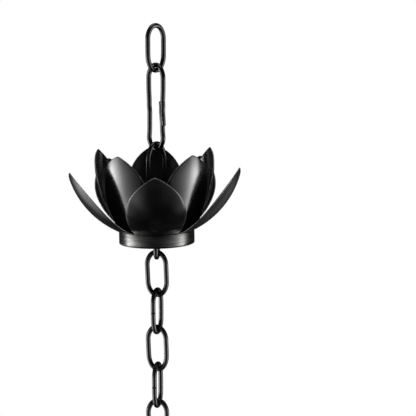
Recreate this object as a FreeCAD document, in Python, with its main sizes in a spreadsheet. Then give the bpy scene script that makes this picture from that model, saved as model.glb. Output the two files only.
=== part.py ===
import FreeCAD, Part
import math
import os

import Sketcher

# A rain chain: oval wire links, five lotus cups on wire hangers, and a glass drop on a jump ring.
# Frame: millimetres, +Z up. The origin is where the gutter hook bears inside the top link.
# The chain hangs down -Z, and its front faces -Y.

# Driving dimensions: alias, value and what it is
DIMENSIONS = (
    ("wire", 4.2, "diameter of the link and hanger wire"),
    ("bearing_gap", 0.3, "gap left where one piece hangs in the next"),
    ("link_width", 20.6, "link, over the wire"),
    ("link_length", 42.0, "ordinary link, over the wire"),
    ("long_link_length", 75.9, "link that carries the first cup, over the wire"),
    ("link_tip_radius", 6.6, "centreline radius at each end of a link"),
    ("link_shoulder_radius", 14.0, "centreline radius where a link's side turns to its end"),
    ("sheet", 1.0, "thickness of the petal sheet"),
    ("ring_diameter", 65.4, "outside of a cup's base ring"),
    ("ring_height", 11.5, "height of the base ring"),
    ("ring_wall", 1.6, "thickness of the base ring"),
    ("ring_edge", 0.5, "slope across the ring's two lower edges"),
    ("outer_base_radius", 33.5, "outer petals' outside face where they leave the floor"),
    ("outer_tip_radius", 75.8, "outer petals' tips, from the cup's axis"),
    ("outer_tip_height", 54.0, "outer petals' tips, above the floor"),
    ("outer_bend", 78.0, "radius of the outer petals' upward bend"),
    ("outer_dish_height", 64.0, "where the outer petals' dishing line crosses the cup's axis"),
    ("outer_dish_tilt", 0.0, "tilt of the outer petals' dishing line, degrees"),
    ("outer_half_width", 24.9, "outer petals at their widest, half"),
    ("outer_widest_at", 31.0, "widest place, from the petal's base along its chord"),
    ("outer_flank", 78.0, "radius of the outer petals' edge below the widest place"),
    ("inner_base_radius", 32.0, "inner petals' outside face where they leave the floor"),
    ("inner_tip_radius", 51.4, "inner petals' tips, from the cup's axis"),
    ("inner_tip_height", 67.1, "inner petals' tips, above the floor"),
    ("inner_bend", 92.0, "radius of the inner petals' upward bend"),
    ("inner_dish_height", 28.8, "where the inner petals' dishing line crosses the cup's axis"),
    ("inner_dish_tilt", 71.7, "tilt of the inner petals' dishing line, degrees"),
    ("inner_half_width", 22.8, "inner petals at their widest, half"),
    ("inner_widest_at", 36.0, "widest place, from the petal's base along its chord"),
    ("inner_flank", 90.0, "radius of the inner petals' edge below the widest place"),
    ("bud_tip_radius", 43.0, "inner petals' tips in the last cup, whose flower is half closed"),
    ("petal_tip_rounding", 4.0, "radius of a petal's tip"),
    ("petal_count", 5.0, "petals in each pressed flower"),
    ("petal_root", 11.0, "how far a petal's strip runs on under the floor before it is trimmed"),
    ("hanger_rise", 76.5, "top of a cup's bail, above the base ring"),
    ("hanger_drop", 26.8, "foot of a cup's eye, below the top of the base ring"),
    ("bail_radius", 8.9, "centreline radius of the bail's top bend, half its span"),
    ("eye_radius", 6.0, "centreline radius of the lower eye's bend, half its span"),
    ("washer_thickness", 1.6, "washer on the floor, to which bail and eye are welded"),
    ("washer_bore", 7.0, "diameter of the drain hole through the washer"),
    ("washer_rim", 1.5, "washer's width outside the bail's wire"),
    ("weld_width", 1.1, "weld bead's width round each foot of the bail"),
    ("weld_height", 1.8, "height of a weld bead"),
    ("weld_draft", 28.0, "slope of a weld bead's side, degrees"),
    ("jump_wire", 2.0, "wire of the jump ring that holds the drop"),
    ("jump_radius", 6.6, "centreline radius of the jump ring"),
    ("drop_width", 37.0, "glass drop, across its facets' corners"),
    ("drop_length", 56.0, "glass drop below its neck"),
    ("drop_sides", 10.0, "facets round the drop"),
    ("neck_width", 8.4, "drop's neck, across"),
    ("neck_thickness", 4.0, "drop's neck, along its hole"),
    ("neck_length", 6.4, "drop's neck, above the facets"),
    ("neck_hole", 3.6, "diameter of the hole through the neck"),
)

# How far each piece is turned about the chain's line, in degrees: 0 faces the front, 90 is edge-on.
TOP_LINK_TURN = 36
LONG_LINK_TURN = -42
BAIL_TURNS = (38, 80, 72, 84, 56)
EYE_TURNS = (81, 80, 88, 92, 74)
PETAL_TURNS = (0, 0, -12, 0, 0)
RUN_TURNS = (
    (-8, 65, -18, 70, -6, 84, 3),
    (-8, 90, 4, 78, -3, 88, 0),
    (-2, 96, 0, 84, 8, 82, -4),
    (20, 128, 56, 164, 92, 200, 128),
    (-10, 84, 2, 92, -4, 70, -16),
)
FIRST_RUN_LINK = 3
JUMP_RING_TURN = 70

# How far a petal's strip is swung each way about its dishing line, past the petal's own edges, in degrees
DISH_SWEEP = {"outer": 62, "inner": 48}

# The drop's facet rings: share of its length from the top, and share of its full width
DROP_RINGS = (
    (0.0, 0.20),
    (0.10, 0.45),
    (0.28, 0.74),
    (0.48, 0.94),
    (0.62, 1.0),
    (0.80, 0.84),
    (0.93, 0.5),
    (1.0, 0.2),
)

V = FreeCAD.Vector
X_DIR = V(1, 0, 0)
Y_DIR = V(0, 1, 0)
Z_DIR = V(0, 0, 1)
FAR = 200.0

doc = FreeCAD.newDocument("rain_chain")
dims = doc.addObject("Spreadsheet::Sheet", "dims")
for row, (alias, value, note) in enumerate(DIMENSIONS, 1):
    dims.set(f"A{row}", alias)
    dims.set(f"B{row}", str(value))
    dims.set(f"C{row}", note)
    dims.setAlias(f"B{row}", alias)
doc.recompute()


def size(alias):
    """A driving dimension, as the sheet holds it."""
    return float(getattr(dims, alias))


def origin_part(body, role):
    """One of a body's own planes or axes, such as XZ_Plane."""
    return next(item for item in body.Origin.OriginFeatures if item.Role == role)


def new_sketch(body, name, role):
    """An empty sketch on one of the body's own planes."""
    sketch = body.newObject("Sketcher::SketchObject", f"{body.Name}_{name}")
    sketch.AttachmentSupport = (origin_part(body, role), "")
    sketch.MapMode = "FlatFace"
    return sketch


def new_feature(body, kind, name, **values):
    """A PartDesign feature of the body, with its properties set."""
    feature = body.newObject(f"PartDesign::{kind}", f"{body.Name}_{name}")
    for key, value in values.items():
        setattr(feature, key, value)
    return feature


def arc(centre_x, centre_y, radius, start, end):
    """An arc in a sketch, anticlockwise from start to end, in radians."""
    circle = Part.Circle(V(centre_x, centre_y, 0), Z_DIR, radius)
    return Part.ArcOfCircle(circle, start, end)


def line(start, end):
    """A straight stretch in a sketch."""
    return Part.LineSegment(V(start[0], start[1], 0), V(end[0], end[1], 0))


def polygon(sketch, corners):
    """A closed run of straight stretches in a sketch."""
    for start, end in zip(corners, corners[1:] + corners[:1]):
        sketch.addGeometry(line(start, end))


def bind_radius(sketch, index, expression):
    """Ties the radius of an arc or circle to the sheet."""
    number = sketch.addConstraint(Sketcher.Constraint("Radius", index, sketch.Geometry[index].Radius))
    sketch.setExpression(f"Constraints[{number}]", expression)


# Wire links

def wire_circle(body, distance, expression):
    """The round section of the wire, on the level plane, on the wire's centreline."""
    sketch = new_sketch(body, "section", "XY_Plane")
    sketch.addGeometry(Part.Circle(V(distance, 0, 0), Z_DIR, size("wire") / 2))
    bind_radius(sketch, 0, "dims.wire / 2")
    sketch.addConstraint(Sketcher.Constraint("PointOnObject", 0, 3, -1))
    across = sketch.addConstraint(Sketcher.Constraint("DistanceX", -1, 1, 0, 3, distance))
    sketch.setExpression(f"Constraints[{across}]", expression)
    return sketch


def make_link(name, length_alias):
    """One oval link, its centre at its own origin: straight sides, rounded shoulders and tighter ends."""
    body = doc.addObject("PartDesign::Body", name)
    spine = new_sketch(body, "spine", "XZ_Plane")
    half_width = (size("link_width") - size("wire")) / 2
    half_length = (size(length_alias) - size("wire")) / 2
    tip = size("link_tip_radius")
    shoulder = size("link_shoulder_radius")
    turn = math.acos((shoulder - half_width) / (shoulder - tip))
    straight = half_length - tip - (shoulder - tip) * math.sin(turn)
    inset = half_width - shoulder
    half_turn = math.pi
    stretches = (
        arc(inset, straight, shoulder, 0, turn),
        arc(0, half_length - tip, tip, turn, half_turn - turn),
        arc(-inset, straight, shoulder, half_turn - turn, half_turn),
        line((-half_width, straight), (-half_width, -straight)),
        arc(-inset, -straight, shoulder, half_turn, half_turn + turn),
        arc(0, tip - half_length, tip, half_turn + turn, 2 * half_turn - turn),
        arc(inset, -straight, shoulder, 2 * half_turn - turn, 2 * half_turn),
        line((half_width, -straight), (half_width, straight)),
    )
    for stretch in stretches:
        spine.addGeometry(stretch)
    for index, alias in ((0, "link_shoulder_radius"), (1, "link_tip_radius"), (5, "link_tip_radius")):
        bind_radius(spine, index, f"dims.{alias}")
    section = wire_circle(body, half_width, "(dims.link_width - dims.wire) / 2")
    new_feature(body, "AdditivePipe", "wire", Profile=section, Spine=spine)
    body.Label = name
    return body


# Lotus cups

def make_base_ring(name):
    """The band under the flower, turned from its section, with its lower edges rounded off."""
    body = doc.addObject("PartDesign::Body", name)
    section = new_sketch(body, "section", "XZ_Plane")
    outside = size("ring_diameter") / 2
    inside = outside - size("ring_wall")
    foot = -size("ring_height")
    edge = size("ring_edge")
    corners = [
        (inside, 0),
        (inside, foot + edge),
        (inside + edge, foot),
        (outside - edge, foot),
        (outside, foot + edge),
        (outside, 0),
    ]
    polygon(section, corners)
    new_feature(body, "Revolution", "band", Profile=section, ReferenceAxis=(section, ["V_Axis"]))
    body.Label = name
    return body


def drain_radius():
    """The hole in both floors, just clear of the two legs of the lower eye."""
    return size("eye_radius") + size("wire") / 2 + size("bearing_gap")


def petal_edge(body, tag, chord_length, origin, lean):
    """Cuts a dished strip to a petal's outline, seen square to its chord."""
    half_width = size(f"{tag}_half_width")
    widest = size(f"{tag}_widest_at")
    flank = size(f"{tag}_flank")
    tip = size("petal_tip_rounding")
    run = chord_length - tip - widest
    crown = (half_width**2 + run**2 - tip**2) / (2 * (half_width - tip))
    meet = math.atan2(run, crown - half_width)
    below = widest + size("petal_root")
    fall = math.asin(below / flank)
    root = half_width - flank + flank * math.cos(fall)
    outline = new_sketch(body, "outline", "XY_Plane")
    outline.AttachmentOffset = FreeCAD.Placement(origin, FreeCAD.Rotation(Y_DIR, -math.degrees(lean)))
    quarter = math.pi / 2
    upper_centre = half_width - crown
    lower_centre = half_width - flank
    outline.addGeometry(arc(widest, lower_centre, flank, quarter, quarter + fall))
    outline.addGeometry(arc(widest, upper_centre, crown, quarter - meet, quarter))
    outline.addGeometry(arc(chord_length - tip, 0, tip, meet - quarter, quarter - meet))
    outline.addGeometry(arc(widest, -upper_centre, crown, -quarter, meet - quarter))
    outline.addGeometry(arc(widest, -lower_centre, flank, -quarter - fall, -quarter))
    outline.addGeometry(line((widest - below, -root), (widest - below, root)))
    polygon(outline, [(-FAR, -FAR), (FAR, -FAR), (FAR, FAR), (-FAR, FAR)])
    new_feature(body, "Pocket", "outline_cut", Profile=outline, Type="ThroughAll", Midplane=True)


def make_petals(name, tag, floor, tip_radius_alias):
    """One pressed flower: a floor disc with its drain hole and five dished petals, all of one sheet."""
    body = doc.addObject("PartDesign::Body", name)
    body.AllowCompound = True
    sheet = size("sheet")
    base = V(size(f"{tag}_base_radius"), floor, 0)
    tip = V(size(tip_radius_alias), floor + size(f"{tag}_tip_height"), 0)
    bend = size(f"{tag}_bend")
    chord = tip - base
    lean = math.atan2(chord.y, chord.x)
    half_sweep = math.asin(chord.Length / 2 / bend)
    middle = (base + tip) / 2
    centre = middle + V(-math.sin(lean), math.cos(lean), 0) * bend * math.cos(half_sweep)
    start = lean - math.pi / 2 - half_sweep
    end = lean - math.pi / 2 + half_sweep
    root = start - size("petal_root") / bend
    past = end + sheet / bend
    strip = new_sketch(body, "strip", "XZ_Plane")

    def on_arc(radius, angle):
        """A point of the bend, in the strip's sketch."""
        return (centre.x + radius * math.cos(angle), centre.y + radius * math.sin(angle))

    strip.addGeometry(arc(centre.x, centre.y, bend, root, past))
    strip.addGeometry(line(on_arc(bend, past), on_arc(bend - sheet, past)))
    strip.addGeometry(arc(centre.x, centre.y, bend - sheet, root, past))
    strip.addGeometry(line(on_arc(bend - sheet, root), on_arc(bend, root)))
    bind_radius(strip, 0, f"dims.{tag}_bend")
    bind_radius(strip, 2, f"dims.{tag}_bend - dims.sheet")

    tilt = math.radians(size(f"{tag}_dish_tilt"))
    dish = new_sketch(body, "dishing_line", "XZ_Plane")
    crossing = floor + size(f"{tag}_dish_height")
    dish.addGeometry(line((0, crossing), (FAR * math.cos(tilt), crossing + FAR * math.sin(tilt))))
    swing = new_feature(body, "Revolution", "dished_strip", Profile=strip, ReferenceAxis=(dish, ["Edge1"]))
    swing.Midplane = True
    swing.Angle = 2 * DISH_SWEEP[tag]

    petal_edge(body, tag, chord.Length, V(base.x, 0, base.y), lean)
    trim = new_sketch(body, "floor_line", "XY_Plane")
    trim.AttachmentOffset = FreeCAD.Placement(V(0, 0, floor), FreeCAD.Rotation())
    polygon(trim, [(-FAR, -FAR), (FAR, -FAR), (FAR, FAR), (-FAR, FAR)])
    new_feature(body, "Pocket", "floor_trim", Profile=trim, Type="ThroughAll")

    doc.recompute()
    ring = new_feature(body, "PolarPattern", "flower", Axis=(origin_part(body, "Z_Axis"), [""]))
    ring.TransformMode = "Whole shape"
    ring.Angle = 360
    ring.setExpression("Occurrences", "dims.petal_count")
    body.Tip = ring

    disc = new_sketch(body, "floor_disc", "XY_Plane")
    disc.AttachmentOffset = FreeCAD.Placement(V(0, 0, floor), FreeCAD.Rotation())
    disc.addGeometry(Part.Circle(V(0, 0, 0), Z_DIR, size(f"{tag}_base_radius") - sheet))
    disc.addGeometry(Part.Circle(V(0, 0, 0), Z_DIR, drain_radius()))
    bind_radius(disc, 0, f"dims.{tag}_base_radius - dims.sheet")
    floor_pad = new_feature(body, "Pad", "floor", Profile=disc)
    floor_pad.setExpression("Length", "dims.sheet")
    body.Label = name
    return body


def wire_loop(body, tag, bend_height, end_height, turn):
    """A U of wire with its bend at one height and its two legs ending at another, turned about the axis."""
    radius = size(f"{tag}_radius")
    upright = 1 if bend_height > end_height else -1
    start = 0 if upright > 0 else math.pi
    turned = FreeCAD.Placement(V(0, 0, 0), FreeCAD.Rotation(Y_DIR, turn))
    spine = new_sketch(body, f"{tag}_spine", "XZ_Plane")
    spine.AttachmentOffset = turned
    spine.addGeometry(line((upright * radius, end_height), (upright * radius, bend_height)))
    spine.addGeometry(arc(0, bend_height, radius, start, start + math.pi))
    spine.addGeometry(line((-upright * radius, bend_height), (-upright * radius, end_height)))
    bind_radius(spine, 1, f"dims.{tag}_radius")
    section = new_sketch(body, f"{tag}_section", "XY_Plane")
    section.AttachmentOffset = FreeCAD.Placement(V(0, 0, end_height), FreeCAD.Rotation(Z_DIR, turn))
    section.addGeometry(Part.Circle(V(upright * radius, 0, 0), Z_DIR, size("wire") / 2))
    bind_radius(section, 0, "dims.wire / 2")
    return new_feature(body, "AdditivePipe", f"{tag}_wire", Profile=section, Spine=spine)


def make_hanger(name, bail_turn):
    """The bail that carries a cup and the eye that carries the links below, welded to one washer."""
    body = doc.addObject("PartDesign::Body", name)
    half_wire = size("wire") / 2
    seat = 2 * size("sheet")
    top = seat + size("washer_thickness")
    turned = FreeCAD.Rotation(Z_DIR, bail_turn)

    plate = new_sketch(body, "plate", "XY_Plane")
    plate.AttachmentOffset = FreeCAD.Placement(V(0, 0, seat), FreeCAD.Rotation())
    plate.addGeometry(Part.Circle(V(0, 0, 0), Z_DIR, size("bail_radius") + half_wire + size("washer_rim")))
    plate.addGeometry(Part.Circle(V(0, 0, 0), Z_DIR, size("washer_bore") / 2))
    bind_radius(plate, 0, "dims.bail_radius + dims.wire / 2 + dims.washer_rim")
    bind_radius(plate, 1, "dims.washer_bore / 2")
    washer = new_feature(body, "Pad", "washer", Profile=plate)
    washer.setExpression("Length", "dims.washer_thickness")

    wire_loop(body, "bail", size("hanger_rise") - half_wire - size("bail_radius"), top - half_wire / 2, bail_turn)
    wire_loop(body, "eye", half_wire + size("eye_radius") - size("hanger_drop"), seat + half_wire / 2, 0)

    beads = new_sketch(body, "beads", "XY_Plane")
    beads.AttachmentOffset = FreeCAD.Placement(V(0, 0, top), turned)
    for side in (-1, 1):
        foot = V(side * size("bail_radius"), 0, 0)
        beads.addGeometry(Part.Circle(foot, Z_DIR, half_wire + size("weld_width")))
    weld = new_feature(body, "Pad", "weld_beads", Profile=beads)
    weld.setExpression("Length", "dims.weld_height")
    weld.setExpression("TaperAngle", "-dims.weld_draft")
    body.Label = name
    return body


# Glass drop

def make_jump_ring(name):
    """The thin round ring between the last link and the drop, its centre at its own origin."""
    ring = doc.addObject("Part::Torus", name)
    ring.setExpression("Radius1", "dims.jump_radius")
    ring.setExpression("Radius2", "dims.jump_wire / 2")
    ring.Label = name
    return ring


def make_drop(name):
    """A faceted glass drop, its own origin on the axis of the hole through its neck."""
    body = doc.addObject("PartDesign::Body", name)
    hole = size("neck_hole") / 2
    shoulder = -size("neck_length") + hole * 2
    sides = int(size("drop_sides"))
    rings = []
    for number, (down, wide) in enumerate(DROP_RINGS):
        ring = new_sketch(body, f"ring_{number}", "XY_Plane")
        height = shoulder - down * size("drop_length")
        ring.AttachmentOffset = FreeCAD.Placement(V(0, 0, height), FreeCAD.Rotation())
        radius = wide * size("drop_width") / 2
        turns = [2 * math.pi * side / sides for side in range(sides)]
        polygon(ring, [(radius * math.cos(turn), radius * math.sin(turn)) for turn in turns])
        rings.append(ring)
    new_feature(body, "AdditiveLoft", "facets", Profile=rings[0], Sections=rings[1:], Ruled=True)

    neck = new_sketch(body, "neck", "XZ_Plane")
    half = size("neck_width") / 2
    sink = size("drop_length") * DROP_RINGS[1][0]
    neck.addGeometry(arc(0, 0, half, 0, math.pi))
    neck.addGeometry(line((-half, 0), (-half, shoulder - sink)))
    neck.addGeometry(line((-half, shoulder - sink), (half, shoulder - sink)))
    neck.addGeometry(line((half, shoulder - sink), (half, 0)))
    neck.addGeometry(Part.Circle(V(0, 0, 0), Z_DIR, hole))
    lug = new_feature(body, "Pad", "lug", Profile=neck, Midplane=True)
    lug.setExpression("Length", "dims.neck_thickness")
    body.Label = name
    return body


# The chain, from the top down

pieces = []


def hang(piece, height, turn):
    """Puts a piece on the chain's line at its height, tied to the piece above, and turns it."""
    piece.Placement = FreeCAD.Placement(V(0, 0, 0), FreeCAD.Rotation(Z_DIR, turn))
    piece.setExpression(".Placement.Base.z", height)
    pieces.append(piece)
    return piece


def half_inside(length_alias):
    """From a link's centre to where it bears, as an expression on the sheet."""
    return f"(dims.{length_alias} / 2 - dims.wire)"


def height_of(name):
    """A piece's own height as a plain number, as an expression."""
    return f"{name}.Placement.Base.z / 1mm"


def link_foot(name, length_alias):
    """The bearing height inside a link's lower end, as an expression."""
    return f"{height_of(name)} - {half_inside(length_alias)}"


def add_link(name, above, turn, length_alias="link_length"):
    """Hangs a link in what is above it, and returns where the next piece bears."""
    height = f"{above} + dims.bearing_gap - {half_inside(length_alias)}"
    hang(make_link(name, length_alias), height, turn)
    return link_foot(name, length_alias)


def add_cup(number, above):
    """Hangs a cup in the link above it, and returns where the next link bears."""
    name = f"cup_{number}"
    height = f"{above} + dims.bearing_gap - dims.hanger_rise + dims.wire"
    petals = PETAL_TURNS[number - 1]
    half_step = 180 / size("petal_count")
    bud = "bud_tip_radius" if number == len(PETAL_TURNS) else "inner_tip_radius"
    front = -90
    eye_turn = EYE_TURNS[number - 1]
    hanger = hang(make_hanger(f"{name}_hanger", BAIL_TURNS[number - 1] - eye_turn), height, eye_turn)
    same = height_of(hanger.Name)
    hang(make_base_ring(f"{name}_base_ring"), same, petals)
    hang(make_petals(f"{name}_outer_petals", "outer", 0, "outer_tip_radius"), same, front + petals)
    inner = make_petals(f"{name}_inner_petals", "inner", size("sheet"), bud)
    hang(inner, same, front + half_step + petals)
    return f"{same} - dims.hanger_drop + dims.wire"


bearing = link_foot("link_01", "link_length")
top_height = f"-{half_inside('link_length')}"
hang(make_link("link_01", "link_length"), top_height, TOP_LINK_TURN)
bearing = add_link("link_02", bearing, LONG_LINK_TURN, "long_link_length")
number = FIRST_RUN_LINK
for cup, turns in enumerate(RUN_TURNS, 1):
    bearing = add_cup(cup, bearing)
    for turn in turns:
        bearing = add_link(f"link_{number:02d}", bearing, turn)
        number += 1

jump = make_jump_ring("drop_ring")
reach = "(dims.jump_radius - dims.jump_wire / 2)"
hang(jump, f"{bearing} + dims.bearing_gap - {reach}", JUMP_RING_TURN)
upright = FreeCAD.Rotation(X_DIR, 90)
jump.Placement.Rotation = FreeCAD.Rotation(Z_DIR, JUMP_RING_TURN) * upright
drop_height = f"{height_of('drop_ring')} - dims.jump_radius"
seat = "dims.neck_hole / 2 - dims.jump_wire / 2 - 2 * dims.bearing_gap"
hang(make_drop("drop"), f"{drop_height} - ({seat})", JUMP_RING_TURN + 90)

doc.recompute()

for item in doc.Objects:
    if "Invalid" in item.State or "Error" in item.State:
        raise RuntimeError(f"{item.Label} failed: {item.getStatusString()}")
for piece in pieces:
    if piece.Shape.isNull() or not piece.Shape.isValid():
        raise RuntimeError(f"{piece.Label} has no valid shape")
    if len(piece.Shape.Solids) != 1:
        raise RuntimeError(f"{piece.Label} has {len(piece.Shape.Solids)} solids")

os.makedirs("parts", exist_ok=True)
for piece in pieces:
    piece.Shape.exportStep(f"parts/{piece.Label}.step")
print(f"{len(pieces)} pieces, {-pieces[-1].Shape.BoundBox.ZMin:.1f} mm below the hook")
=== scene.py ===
import math

import bmesh
import bpy
import numpy as np
from bpy.props import FloatProperty, FloatVectorProperty, IntProperty, PointerProperty
from mathutils import Matrix, Vector


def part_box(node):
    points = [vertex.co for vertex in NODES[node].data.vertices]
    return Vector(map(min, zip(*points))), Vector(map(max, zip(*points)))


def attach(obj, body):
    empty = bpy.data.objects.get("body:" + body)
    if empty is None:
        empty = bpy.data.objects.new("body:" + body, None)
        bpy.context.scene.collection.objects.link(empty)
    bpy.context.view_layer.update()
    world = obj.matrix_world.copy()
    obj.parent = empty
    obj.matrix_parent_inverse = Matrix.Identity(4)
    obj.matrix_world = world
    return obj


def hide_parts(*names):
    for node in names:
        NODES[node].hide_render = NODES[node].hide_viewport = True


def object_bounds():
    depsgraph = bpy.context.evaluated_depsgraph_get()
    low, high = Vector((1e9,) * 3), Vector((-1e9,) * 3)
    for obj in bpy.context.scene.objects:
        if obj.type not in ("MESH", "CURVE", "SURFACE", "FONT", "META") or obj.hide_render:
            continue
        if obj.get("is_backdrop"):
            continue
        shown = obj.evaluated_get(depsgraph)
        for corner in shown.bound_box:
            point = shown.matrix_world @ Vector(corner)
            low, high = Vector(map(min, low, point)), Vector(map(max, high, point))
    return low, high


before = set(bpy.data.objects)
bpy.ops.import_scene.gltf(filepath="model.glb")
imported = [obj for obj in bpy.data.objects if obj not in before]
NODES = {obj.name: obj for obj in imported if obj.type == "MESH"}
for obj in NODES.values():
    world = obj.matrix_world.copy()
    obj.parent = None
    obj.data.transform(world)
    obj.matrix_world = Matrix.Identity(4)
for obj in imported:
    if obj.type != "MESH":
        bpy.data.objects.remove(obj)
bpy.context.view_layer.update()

bl_info = {
    "name": "Rain Chain",
    "version": (1, 0, 0),
    "blender": (4, 5, 0),
    "location": "3D View > Sidebar > Rain Chain",
    "description": "Builds a hanging rain chain of wire links, lotus cups and a glass drop",
    "category": "Add Mesh",
}

LINKS = sorted(name for name in NODES if name.startswith("link_"))
CUPS = sorted(name[: -len("_hanger")] for name in NODES if name.endswith("_hanger"))
PETALS = 5


# Properties

class WireSizes(bpy.types.PropertyGroup):
    """Sizes of everything that is bent from wire."""

    radius: FloatProperty(
        name="Wire radius", description="Half the wire's thickness", default=0.0021, unit="LENGTH"
    )
    half_width: FloatProperty(
        name="Link half width", default=0.0082, unit="LENGTH",
        description="From a link's middle to the centre of its side wire",
    )
    end_radius: FloatProperty(
        name="End radius", description="Bend of the wire at a link's ends", default=0.0066,
        unit="LENGTH",
    )
    shoulder_radius: FloatProperty(
        name="Shoulder radius", description="Bend between a link's end and its side", default=0.014,
        unit="LENGTH",
    )
    bail_radius: FloatProperty(
        name="Bail half width", default=0.0089, unit="LENGTH",
        description="From the middle of a cup's bail to its legs",
    )
    eye_radius: FloatProperty(
        name="Eye radius", description="Bend of the eye under a cup", default=0.006, unit="LENGTH"
    )
    seam: FloatProperty(
        name="Seam gap", default=0.00022, unit="LENGTH",
        description="Gap between the two butted ends of a link's wire",
    )


class CupSizes(bpy.types.PropertyGroup):
    """Sizes of the lotus cups."""

    sheet: FloatProperty(
        name="Sheet", description="Thickness of the petals and floors", default=0.001, unit="LENGTH"
    )
    ring_radius: FloatProperty(
        name="Ring radius", description="Outside of the base ring", default=0.0327, unit="LENGTH"
    )
    ring_height: FloatProperty(
        name="Ring height", description="Height of the base ring", default=0.0115, unit="LENGTH"
    )
    ring_wall: FloatProperty(
        name="Ring wall", description="Thickness of the base ring", default=0.0016, unit="LENGTH"
    )
    drain_radius: FloatProperty(
        name="Drain", description="Hole in the floors", default=0.0084, unit="LENGTH"
    )
    lean: FloatProperty(
        name="First cup's lean", default=math.radians(1.5), subtype="ANGLE",
        description="How far the first flower leans on its hanger",
    )


class DropSizes(bpy.types.PropertyGroup):
    """Sizes of the glass drop and its ring."""

    width: FloatProperty(
        name="Width", description="Across the widest facets", default=0.037, unit="LENGTH"
    )
    length: FloatProperty(
        name="Length", description="Facets from top to tip", default=0.056, unit="LENGTH"
    )
    sides: IntProperty(
        name="Facets round", description="Facets round the drop", default=10, min=5
    )
    ring_radius: FloatProperty(
        name="Ring radius", description="Centreline of the jump ring", default=0.0066, unit="LENGTH"
    )
    ring_wire: FloatProperty(
        name="Ring wire", description="Radius of the jump ring's wire", default=0.001, unit="LENGTH"
    )


class Finishes(bpy.types.PropertyGroup):
    """Colours of the finishes."""

    coat: FloatVectorProperty(
        name="Coat", description="Black coat of wire and petals",
        default=(0.0032, 0.0032, 0.0035), subtype="COLOR", size=3,
    )
    # A painted highlight: the light grey laid along the petals' rounded edges
    edge_highlight: FloatVectorProperty(
        name="Painted edge highlight", description="Highlight painted along the petals' edges",
        default=(0.12, 0.12, 0.118), subtype="COLOR", size=3,
    )
    band: FloatVectorProperty(
        name="Band", description="Brushed dark metal of the base rings",
        default=(0.047, 0.047, 0.046), subtype="COLOR", size=3,
    )
    steel: FloatVectorProperty(
        name="Bright wire", description="Wire of the jump ring",
        default=(0.62, 0.62, 0.60), subtype="COLOR", size=3,
    )
    glass: FloatVectorProperty(
        name="Glass", description="Amber glass of the drop",
        default=(0.95, 0.80, 0.34), subtype="COLOR", size=3,
    )


class StageSettings(bpy.types.PropertyGroup):
    """Lights and camera."""

    softbox: FloatProperty(
        name="Softboxes", description="Power of each tall softbox", default=8.0, min=0.0
    )
    top: FloatProperty(
        name="Top light", description="Power of the light overhead", default=20.0, min=0.0
    )
    surround: FloatProperty(
        name="Surround", description="Even light of the studio", default=0.45, min=0.0
    )
    distance: FloatProperty(
        name="Camera distance", description="From the chain's line to the camera", default=1.1457,
        unit="LENGTH",
    )
    height: FloatProperty(
        name="Camera height", description="Camera above the first cup's base ring", default=0.192,
        unit="LENGTH",
    )


# Reading the frame

def points_of(node):
    """A CAD node's points in metres."""
    mesh = NODES[node].data
    flat = np.empty(len(mesh.vertices) * 3)
    mesh.vertices.foreach_get("co", flat)
    return flat.reshape(-1, 3)


def turn_of(points):
    """The direction, seen from above, in which the points spread furthest."""
    x, y = points[:, 0] - points[:, 0].mean(), points[:, 1] - points[:, 1].mean()
    return 0.5 * math.atan2(2 * (x * y).mean(), (x * x).mean() - (y * y).mean())


def ring_top(cup):
    """Height of the top of a cup's base ring."""
    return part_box(f"{cup}_base_ring")[1].z


# Making meshes

def add_piece(name, verts, faces, mat, body, stands_for, edge=None):
    """A smooth mesh object that rides on its body and stands for its CAD node."""
    mesh = bpy.data.meshes.new(name)
    mesh.from_pydata([tuple(v) for v in verts], [], faces)
    mesh.validate()
    mesh.update()
    mesh.polygons.foreach_set("use_smooth", [True] * len(mesh.polygons))
    # The edge attribute marks where a material paints a highlight or a dark reflection
    if edge is not None:
        attribute = mesh.attributes.new("edge", "FLOAT", "POINT")
        attribute.data.foreach_set("value", list(edge))
    mesh.materials.append(mat)
    obj = bpy.data.objects.new(name, mesh)
    bpy.context.scene.collection.objects.link(obj)
    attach(obj, body)
    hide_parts(stands_for)
    return obj


def join_shells(*shells):
    """One list of points and faces from several."""
    verts, faces = [], []
    for points, polygons in shells:
        first = len(verts)
        verts.extend(points)
        faces.extend([tuple(first + i for i in polygon) for polygon in polygons])
    return verts, faces


def net_faces(rows, columns, rows_closed=True, columns_closed=True):
    """Four-sided faces over a net of points that are counted row by row."""
    faces = []
    for i in range(rows if rows_closed else rows - 1):
        here, ahead = i * columns, (i + 1) % rows * columns
        for k in range(columns if columns_closed else columns - 1):
            m = (k + 1) % columns
            faces.append((here + k, ahead + k, ahead + m, here + m))
    return faces


def arc(x, z, radius, first, last, steps):
    """Points on an arc about (x, z) from one angle to another, both ends among them."""
    angles = [first + (last - first) * step / steps for step in range(steps + 1)]
    return [(x + radius * math.cos(angle), z + radius * math.sin(angle)) for angle in angles]


def round_wire(path, radii, sides, closed=False, shift=0.0):
    """A round wire along a path in the XZ plane, with its ends capped if it is open.

    shift is added to the radius, at each point of the path for each side of the wire."""
    path = np.asarray(path)
    if closed:
        ahead, behind = np.roll(path, -1, 0), np.roll(path, 1, 0)
    else:
        ahead = np.vstack([path[1:], 2 * path[-1] - path[-2]])
        behind = np.vstack([2 * path[0] - path[1], path[:-1]])
    along = ahead - behind
    along /= np.linalg.norm(along, axis=1)[:, None]
    side = np.array([0.0, 1.0, 0.0])
    out = np.cross(along, side)
    angles = (2 * math.pi * np.arange(sides) / sides)[:, None]
    spokes = np.cos(angles) * out[:, None] + np.sin(angles) * side
    reach = np.asarray(radii)[:, None] + shift
    verts = (path[:, None] + reach[..., None] * spokes).reshape(-1, 3)
    faces = [(a, d, c, b) for a, b, c, d in net_faces(len(path), sides, rows_closed=closed)]
    if not closed:
        faces.append(tuple(reversed(range(sides))))
        faces.append(tuple(range(len(verts) - sides, len(verts))))
    return verts, faces


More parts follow.
